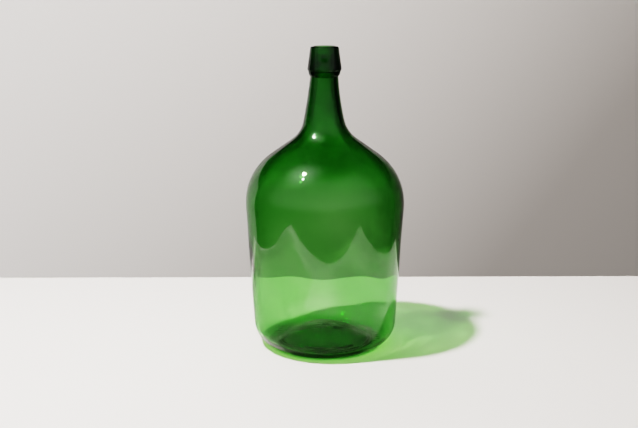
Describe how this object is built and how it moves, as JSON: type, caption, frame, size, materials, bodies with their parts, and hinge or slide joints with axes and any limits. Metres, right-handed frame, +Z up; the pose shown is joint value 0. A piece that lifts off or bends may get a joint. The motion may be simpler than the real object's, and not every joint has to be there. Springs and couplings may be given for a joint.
{
  "type": "glass carboy",
  "caption": "Green glass demijohn: tapered round body, domed shoulder, slim neck with string ring and collar, open mouth, pushed-up base with a grooved foot.",
  "frame": {"origin": "on the bottle's axis, in the plane of the foot that it stands on", "axes": "+Z up along the bottle's axis; -Y is the front, with the pip on the collar"},
  "size_m": [0.1916, 0.1916, 0.362],
  "materials": {
    "green_glass": "mould-blown bottle glass, polished, with slight waves, seeds and scuffs"
  },
  "bodies": {
    "root": {"carboy_glass": "green_glass"}
  },
  "joints": []
}
